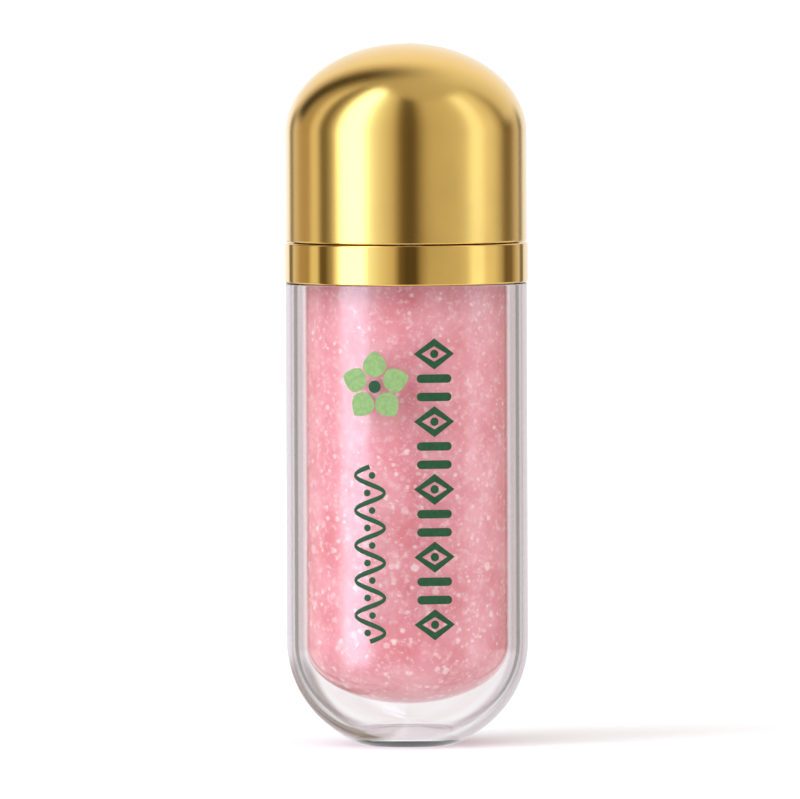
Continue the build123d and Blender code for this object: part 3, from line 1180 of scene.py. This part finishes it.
@dataclass
class PrintedPattern:
    """Plain ornament printed on the front of the bottle: a bold column, a fine column and a rosette."""

    wall_radius: float = 12.0 * MM
    lift: float = 0.004 * MM
    film: float = 0.016 * MM
    strip: float = 0.35 * MM
    low: float = 10.9 * MM
    bold_middle: float = 2.75 * MM
    bold_half: float = 2.05 * MM
    bold_top: float = 41.0 * MM
    bold_units: int = 9
    bold_stroke: float = 0.78 * MM
    bold_dot: float = 0.42 * MM
    lozenge_height: float = 0.46
    bar_length: float = 0.86
    bar_spread: float = 0.27
    fine_middle: float = -3.75 * MM
    fine_half: float = 1.5 * MM
    fine_top: float = 28.2 * MM
    fine_waves: int = 5
    fine_steps: int = 30
    fine_line: float = 0.15 * MM
    fine_swell: float = 0.09 * MM
    fine_dot: float = 0.34 * MM
    fine_dot_shift: float = 0.25 * MM
    rosette: Point = (-3.2 * MM, 36.1 * MM)
    petal: float = 3.55 * MM
    petals: int = 5
    petal_steps: int = 16
    petal_start: float = 0.26
    petal_width: float = 0.34
    rosette_eye: float = 0.62 * MM
    cells: dict[Ink, list[list[Point]]] = field(default_factory=lambda: {ink: [] for ink in Ink})

    def ribbon(self, ink: Ink, line: Sequence[Point], half_widths: Sequence[float]) -> None:
        """Adds a band that follows a line, as a row of flat cells.

        Args:
            ink: its colour.
            line: points along its middle, as distance round the bottle and height.
            half_widths: half its width at each point.
        """
        sides: list[tuple[Point, Point]] = []
        for number, (point, half) in enumerate(zip(line, half_widths)):
            before = line[max(number - 1, 0)]
            after = line[min(number + 1, len(line) - 1)]
            along = (after[0] - before[0], after[1] - before[1])
            length = math.hypot(*along)
            across = (-along[1] / length * half, along[0] / length * half)
            left = (point[0] + across[0], point[1] + across[1])
            sides.append((left, (point[0] - across[0], point[1] - across[1])))
        for (left, right), (next_left, next_right) in zip(sides, sides[1:]):
            self.cells[ink].append([left, right, next_right, next_left])

    def bead(self, ink: Ink, centre: Point, radius: float, flatness: float = 1.0) -> None:
        """Adds a round or oval dot."""
        steps = 20
        line = []
        widths = []
        for step in range(steps + 1):
            angle = math.pi * step / steps
            line.append((centre[0], centre[1] - radius * flatness * math.cos(angle)))
            widths.append(radius * math.sin(angle))
        self.ribbon(ink, line, widths)

    def bar(self, ink: Ink, centre: Point, half_length: float, half_height: float) -> None:
        """Adds a level bar with rounded ends."""
        steps = 8
        line = []
        widths = []
        for side in (-1, 1):
            for step in range(steps + 1):
                angle = math.pi / 2 * (step / steps if side < 0 else 1 - step / steps)
                offset = half_length - half_height + half_height * math.cos(angle)
                line.append((centre[0] + side * offset, centre[1]))
                widths.append(half_height * math.sin(angle))
        self.ribbon(ink, line, widths)

    def lozenge(self, ink: Ink, centre: Point, half_width: float, half_height: float, stroke: float) -> None:
        """Adds an open lozenge, drawn with a broad line that is mitred at its corners."""
        inner = (1 - stroke / half_width, 1 - stroke / half_height)
        corners = ((1, 0), (0, 1), (-1, 0), (0, -1))
        for first, second in zip(corners, corners[1:] + corners[:1]):
            cell = []
            for corner, wide, tall in ((first, 1, 1), (second, 1, 1), (second, *inner), (first, *inner)):
                offset_x = corner[0] * half_width * wide
                cell.append((centre[0] + offset_x, centre[1] + corner[1] * half_height * tall))
            self.cells[ink].append(cell)

    def draw_bold_column(self) -> None:
        """Draws the bold column: lozenges with a dot, and pairs of bars between them."""
        pitch = (self.bold_top - self.low) / self.bold_units
        for unit in range(self.bold_units):
            middle = self.low + pitch * (unit + 0.5)
            centre = (self.bold_middle, middle)
            if unit % 2 == 0:
                self.lozenge(Ink.DARK, centre, self.bold_half, pitch * self.lozenge_height, self.bold_stroke)
                self.bead(Ink.DARK, centre, self.bold_dot)
            else:
                for offset in (-self.bar_spread, self.bar_spread):
                    place = (self.bold_middle, middle + pitch * offset)
                    self.bar(Ink.DARK, place, self.bold_half * self.bar_length, self.bold_dot)

    def draw_fine_column(self) -> None:
        """Draws the fine column: a waving line with a dot beside each bend."""
        steps = self.fine_steps * self.fine_waves
        line = []
        widths = []
        for step in range(steps + 1):
            turn_angle = FULL_TURN * self.fine_waves * step / steps
            height = self.low + (self.fine_top - self.low) * step / steps
            line.append((self.fine_middle + self.fine_half * math.sin(turn_angle), height))
            widths.append(self.fine_line + self.fine_swell * abs(math.cos(turn_angle)))
        self.ribbon(Ink.DARK, line, widths)
        wave = (self.fine_top - self.low) / self.fine_waves
        for number in range(self.fine_waves):
            height = self.low + wave * (number + 0.25)
            self.bead(Ink.DARK, (self.fine_middle - self.fine_dot_shift, height), self.fine_dot)
            self.bead(Ink.DARK, (self.fine_middle + self.fine_dot_shift, height + wave / 2), self.fine_dot)

    def draw_rosette(self) -> None:
        """Draws the rosette of light petals round a dark eye."""
        across, up = self.rosette
        for number in range(self.petals):
            angle = math.pi / 2 + FULL_TURN * number / self.petals
            line = []
            widths = []
            for step in range(self.petal_steps + 1):
                share = step / self.petal_steps
                reach = self.petal * (self.petal_start + (1 - self.petal_start) * share)
                line.append((across + reach * math.cos(angle), up + reach * math.sin(angle)))
                widths.append(self.petal * self.petal_width * math.sin(math.pi * share**0.8) ** 0.75)
            self.ribbon(Ink.LIGHT, line, widths)
        self.bead(Ink.DARK, self.rosette, self.rosette_eye)

    def wrap(self, ink: Ink, material: bpy.types.Material) -> None:
        """Turns one colour's flat cells into a thin film round the bottle.

        Args:
            ink: the colour.
            material: its finish.
        """
        radius = self.wall_radius
        shape = bmesh.new()
        for cell in self.cells[ink]:
            shape.faces.new([shape.verts.new((x, 0.0, z)) for x, z in cell])
        bmesh.ops.remove_doubles(shape, verts=shape.verts[:], dist=0.001 * MM)
        reach = max(abs(vert.co.x) for vert in shape.verts)
        count = math.ceil(reach / self.strip)
        for number in range(-count, count + 1):
            everything = shape.verts[:] + shape.edges[:] + shape.faces[:]
            bmesh.ops.bisect_plane(
                shape, geom=everything, dist=1e-8, plane_co=(number * self.strip, 0, 0), plane_no=(1, 0, 0)
            )
        made = bmesh.ops.extrude_face_region(shape, geom=shape.faces[:], use_keep_orig=True)
        raised = {item for item in made["geom"] if isinstance(item, bmesh.types.BMVert)}
        for vert in shape.verts:
            out = radius + self.lift + (self.film if vert in raised else 0.0)
            angle = vert.co.x / radius
            vert.co = (out * math.sin(angle), -out * math.cos(angle), vert.co.z)
        bmesh.ops.recalc_face_normals(shape, faces=shape.faces[:])
        mesh = bpy.data.meshes.new(f"printed_pattern_{ink.name.lower()}")
        shape.to_mesh(mesh)
        shape.free()
        mesh.polygons.foreach_set("use_smooth", [True] * len(mesh.polygons))
        mesh.set_sharp_from_angle(angle=SHARP_EDGE)
        piece = bpy.data.objects.new(mesh.name, mesh)
        bpy.context.scene.collection.objects.link(piece)
        dress(piece, material, "bottle", ink.value)

    def build(self, dark: bpy.types.Material, light: bpy.types.Material) -> None:
        """Draws, wraps and dresses both colours."""
        self.draw_bold_column()
        self.draw_fine_column()
        self.draw_rosette()
        self.wrap(Ink.DARK, dark)
        self.wrap(Ink.LIGHT, light)


def refinish(node: str, material: bpy.types.Material) -> None:
    """Gives a CAD node that stays in sight its finish."""
    piece = bpy.data.objects[node]
    for holder in piece.material_slots:
        holder.link = "OBJECT"
        holder.material = material
    log.info("%s keeps its own shape in %s", node, material.name)


# ------------------------------------------------------------------------------ studio
@dataclass
class Studio:
    """Floor, soft light and camera."""

    elevation: float = math.radians(2.4)
    distance: float = 1.6
    frame_width: float = 0.0795
    sensor: float = 36.0
    aim: tuple[float, float, float] = (-0.00043, 0.0, 0.03435)
    roll: float = math.radians(0.2)
    clip: Limits = (0.01, 100.0)
    floor_rings: tuple[float, ...] = (9.0, 1.0, 0.2, 0.05, 0.0)
    key_strength: float = 1.9
    key_spread: float = math.radians(75)
    key_tilt: tuple[float, float, float] = (math.radians(24), math.radians(-14), 0.0)
    backdrop: Colour = (0.98, 0.98, 0.98, 1.0)
    low_left: tuple[Panel, ...] = (
        (0, 0.88, 0.0), (136, 0.88, 0.0), (139, 0.22, 0.3), (145, 0.22, 0.3), (148, 0.88, 0.0),
        (155, 0.88, 0.0), (158, 0.32, 0.7), (167, 0.32, 0.7), (171, 0.95, 0.0), (180, 0.95, 0.0),
    )
    low_right: tuple[Panel, ...] = (
        (0, 0.88, 0.0), (136, 0.88, 0.0), (139, 0.22, 0.3), (145, 0.22, 0.3), (148, 0.88, 0.0),
        (180, 0.95, 0.0),
    )
    front_glow: float = 1.0
    left_panels: tuple[Panel, ...] = (
        (0, 0.10, 0.9), (6, 0.17, 0.9), (12, 0.60, 0.3), (25, 0.86, -0.2), (36, 1.15, -0.8),
        (43, 2.7, -0.9), (64, 2.7, -0.7), (69, 1.2, -0.3), (75, 0.45, 0.3), (83, 0.14, 0.9),
        (89, 0.14, 0.9), (94, 0.80, 0.1), (101, 0.80, 0.1), (107, 0.40, 0.8), (120, 0.44, 0.8),
        (134, 0.75, 0.2), (139, 0.22, 0.5), (145, 0.22, 0.5), (148, 0.95, 0.0), (152, 1.10, -0.05),
        (180, 1.10, -0.05),
    )
    right_panels: tuple[Panel, ...] = (
        (0, 0.09, 0.9), (9, 0.10, 0.9), (15, 0.38, 0.5), (22, 0.56, 0.2), (50, 0.64, 0.1),
        (59, 0.75, 0.0), (67, 1.2, -0.4), (76, 1.2, -0.4), (83, 0.88, 0.0), (93, 0.78, 0.0),
        (103, 0.45, 0.3), (109, 0.16, 0.9), (119, 0.18, 0.9), (128, 0.55, 0.4), (135, 0.70, 0.2),
        (139, 0.22, 0.5), (145, 0.22, 0.5), (148, 0.85, 0.0), (152, 0.95, 0.0), (180, 0.95, 0.0),
    )
    overhead: tuple[Panel, ...] = (
        (-1.0, 0.42, 0.2), (0.38, 0.48, 0.2), (0.49, 0.30, 0.5), (0.56, 0.04, 0.9), (0.68, 0.04, 0.9),
        (0.75, 0.55, 0.5), (0.84, 0.95, 0.1), (1.2, 1.0, 0.0),
    )
    overhead_right: tuple[Panel, ...] = (
        (-1.0, 0.42, 0.2), (0.38, 0.60, 0.1), (0.60, 0.75, 0.0), (0.84, 0.95, 0.1), (1.2, 1.0, 0.0),
    )
    bearing_reach: Limits = (0.0, 180.0)
    overhead_reach: Limits = (-1.0, 1.2)
    overhead_bend: float = 0.42
    overhead_blend: Limits = (-0.4, 0.5)
    top_blend: Limits = (-0.3, 0.3)
    top_levels: Limits = (0.90, 0.78)
    top_softness: float = 0.07
    back_rise: Limits = (0.08, 0.3)
    back_depth: Limits = (0.30, 0.48)
    low_rise: Limits = (-0.16, -0.08)
    low_depth: Limits = (-0.1, 0.3)
    glow_rise: Limits = (-0.5, -0.3)
    glow_depth: Limits = (-0.35, 0.0)

    def build_floor(self, material: bpy.types.Material) -> None:
        """Lays the floor, which the bright metal and the clear base take from the panels instead."""
        line = Outline()
        for radius in self.floor_rings:
            line.points.append((radius, 0.0))
        floor = turn("studio_floor", line, Fineness.MEDIUM)
        floor.data.materials.append(material)
        floor.visible_glossy = False
        floor.visible_transmission = False

    def ramp(
        self, wiring: Wiring, value: bpy.types.NodeSocket, stops: Sequence[Panel], reach: Limits
    ) -> bpy.types.NodeSocket:
        """Sets brightness along a value.

        Args:
            wiring: wiring on the world's tree.
            value: the value's socket.
            stops: value, brightness and warmth, which is below 0 for a cool panel.
            reach: values where the ramp starts and ends.

        Returns:
            The light as a colour socket.
        """
        low, high = reach
        node = wiring.add("ShaderNodeValToRGB")
        scaled = wiring.maths("MULTIPLY_ADD", value, 1 / (high - low), -low / (high - low))
        wiring.feed(scaled, node.inputs[0])
        elements = node.color_ramp.elements
        elements.remove(elements[0])
        for number, (place, level, warmth) in enumerate(stops):
            position = (place - low) / (high - low)
            stop = elements[0] if number == 0 else elements.new(position)
            stop.position = position
            stop.color = tuple(level * (1 + gain * warmth) for gain in WARM_GAINS) + (1.0,)
        return node.outputs[0]

    def light_from_above(self, wiring: Wiring, side: object, bent_depth: object) -> bpy.types.NodeSocket:
        """Lights the overhead part, with its own panels on each side, blended over the middle."""
        left = self.ramp(wiring, bent_depth, self.overhead, self.overhead_reach)
        right = self.ramp(wiring, bent_depth, self.overhead_right, self.overhead_reach)
        return wiring.mix(wiring.span(side, *self.overhead_blend), left, right)

    def share_of_above(
        self, wiring: Wiring, side: object, height: object, bent_depth: object
    ) -> bpy.types.NodeSocket:
        """Finds where the overhead panels take over from those around the piece.

        Args:
            wiring: wiring on the world's tree.
            side: socket of the direction's part to the right.
            height: socket of its upward part.
            bent_depth: socket of its part to the back, bent forward with height.

        Returns:
            The share's socket, from 0 to 1.
        """
        tops = wiring.span(side, *self.top_blend, *self.top_levels)
        past_top = wiring.maths("MULTIPLY", wiring.maths("SUBTRACT", height, tops), 1 / self.top_softness)
        front_share = wiring.add("ShaderNodeClamp")
        wiring.feed(past_top, front_share.inputs[0])
        share = wiring.add("ShaderNodeMix", data_type="FLOAT")
        wiring.feed(wiring.span(bent_depth, *self.back_depth), share.inputs[0])
        wiring.feed(front_share.outputs[0], share.inputs[2])
        wiring.feed(wiring.span(height, *self.back_rise), share.inputs[3])
        return share.outputs[0]

    def build_panels(self) -> None:
        """Surrounds the piece with soft panels and the dark gaps between them."""
        world = bpy.data.worlds.new("studio_panels")
        bpy.context.scene.world = world
        world.use_nodes = True
        wiring = Wiring(world.node_tree)
        coords = wiring.add("ShaderNodeTexCoord")
        parts = wiring.add("ShaderNodeSeparateXYZ")
        wiring.feed(coords.outputs["Generated"], parts.inputs[0])
        side, depth, height = parts.outputs
        on_right = wiring.maths("GREATER_THAN", side, 0.0)
        toward = wiring.maths("MULTIPLY", depth, -1.0)
        across = wiring.maths("ABSOLUTE", side)
        bearing = wiring.maths("MULTIPLY", wiring.maths("ARCTAN2", across, toward), 180 / math.pi)
        left, right, low_left, low_right = (
            self.ramp(wiring, bearing, stops, self.bearing_reach)
            for stops in (self.left_panels, self.right_panels, self.low_left, self.low_right)
        )
        around = wiring.mix(on_right, left, right)
        around_low = wiring.mix(on_right, low_left, low_right)
        rise = wiring.maths("MULTIPLY", height, height)
        bent_depth = wiring.maths("MULTIPLY_ADD", rise, self.overhead_bend, depth)
        above = self.light_from_above(wiring, side, bent_depth)
        upper = wiring.mix(self.share_of_above(wiring, side, height, bent_depth), around, above)
        in_front = wiring.maths("SUBTRACT", 1.0, wiring.span(depth, *self.low_depth))
        upper_share = wiring.maths("MAXIMUM", wiring.span(height, *self.low_rise), in_front)
        whole = wiring.mix(upper_share, around_low, upper)
        near_side = wiring.span(depth, *self.glow_depth, 1.0, 0.0)
        glow_share = wiring.maths("MULTIPLY", wiring.span(height, *self.glow_rise, 1.0, 0.0), near_side)
        whole = wiring.mix(glow_share, whole, (self.front_glow,) * 3 + (1.0,))
        seen = wiring.add("ShaderNodeLightPath")
        shown = wiring.mix(seen.outputs["Is Camera Ray"], whole, self.backdrop)
        background = wiring.add("ShaderNodeBackground")
        wiring.feed(shown, background.inputs["Color"])
        output = wiring.add("ShaderNodeOutputWorld")
        wiring.feed(background.outputs[0], output.inputs["Surface"])

    def build_key(self) -> None:
        """Adds the broad key light from the upper left, too soft to show in the metal."""
        light = bpy.data.lights.new("key_diffuser", "SUN")
        light.energy = self.key_strength
        light.angle = self.key_spread
        lamp = bpy.data.objects.new("key_diffuser", light)
        lamp.rotation_euler = self.key_tilt
        lamp.visible_glossy = False
        bpy.context.scene.collection.objects.link(lamp)

    def build_camera(self) -> None:
        """Sets the camera in front, a little above, with a long lens."""
        data = bpy.data.cameras.new("front_camera")
        data.sensor_width = self.sensor
        data.lens = self.sensor * self.distance / self.frame_width
        data.clip_start, data.clip_end = self.clip
        camera = bpy.data.objects.new("front_camera", data)
        away = Vector((0, -math.cos(self.elevation), math.sin(self.elevation)))
        camera.location = Vector(self.aim) + away * self.distance
        camera.rotation_euler = (math.pi / 2 - self.elevation, self.roll, 0)
        bpy.context.scene.collection.objects.link(camera)
        bpy.context.scene.camera = camera
        bpy.context.scene.view_settings.view_transform = "Standard"

    def build(self, effects: Effects) -> None:
        """Sets up the whole studio."""
        self.build_floor(StudioFloor().make(effects))
        self.build_panels()
        self.build_key()
        self.build_camera()


def main() -> None:
    """Builds every piece in order."""
    logging.basicConfig(level=logging.INFO, format="%(name)s: %(message)s")
    effects = Effects()
    Studio().build(effects)
    # The shell keeps the default dark painted edge shade; the vial's painted edge tone below is a pale pink
    # painted glow from the gel.
    ClearShell().build(ClearPlastic("clear_shell_plastic").make(effects))
    vial_plastic = ClearPlastic(
        "clear_vial_plastic", painted_edge_tone=(0.96, 0.90, 0.92, 1.0), haze=0.015, reflection=0.25
    )
    ClearVial().build(vial_plastic.make(effects))
    GlossFilling().build(PinkGloss("pink_gel").make(effects))
    mirror = GoldFinish("mirror_gold_plate", (0.93, 0.60, 0.145, 1.0), 0.07, 0.06, 3000.0, 0.0008 * MM, 0.6)
    satin = GoldFinish("satin_gold_anodising", (0.94, 0.61, 0.15, 1.0), 0.17, 0.05, 5200.0, 0.003 * MM, 0.8)
    BrightCollar().build(mirror.make(effects))
    NeckWiper().build(MouldedPlastic("soft_wiper_plastic", (0.90, 0.88, 0.87, 1.0), 0.5, 0.3).make(effects))
    PrintedPattern().build(
        PrintingInk("dark_green_ink", (0.014, 0.070, 0.026, 1.0)).make(effects),
        PrintingInk("light_green_ink", (0.235, 0.365, 0.135, 1.0)).make(effects),
    )
    DomeCap().build(satin.make(effects))
    inner_plastic = MouldedPlastic("inner_cap_plastic", (0.84, 0.83, 0.80, 1.0), 0.4, 0.1)
    refinish("inner_cap", inner_plastic.make(effects))
    SealingWasher().build(MouldedPlastic("washer_foam", (0.88, 0.88, 0.85, 1.0), 0.7, 0.2).make(effects))
    wand = Wand()
    wand.build_stem(MouldedPlastic("stem_plastic_skin", (0.82, 0.80, 0.79, 1.0), 0.32, 0.3).make(effects))
    refinish("applicator_core", MouldedPlastic("core_plastic_skin", (0.86, 0.84, 0.80, 1.0)).make(effects))
    wand.build_tip(MouldedPlastic("flock_fibre", (0.88, 0.80, 0.79, 1.0), 0.85, 0.2).make(effects))


if __name__ == "__main__":
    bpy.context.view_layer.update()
    main()
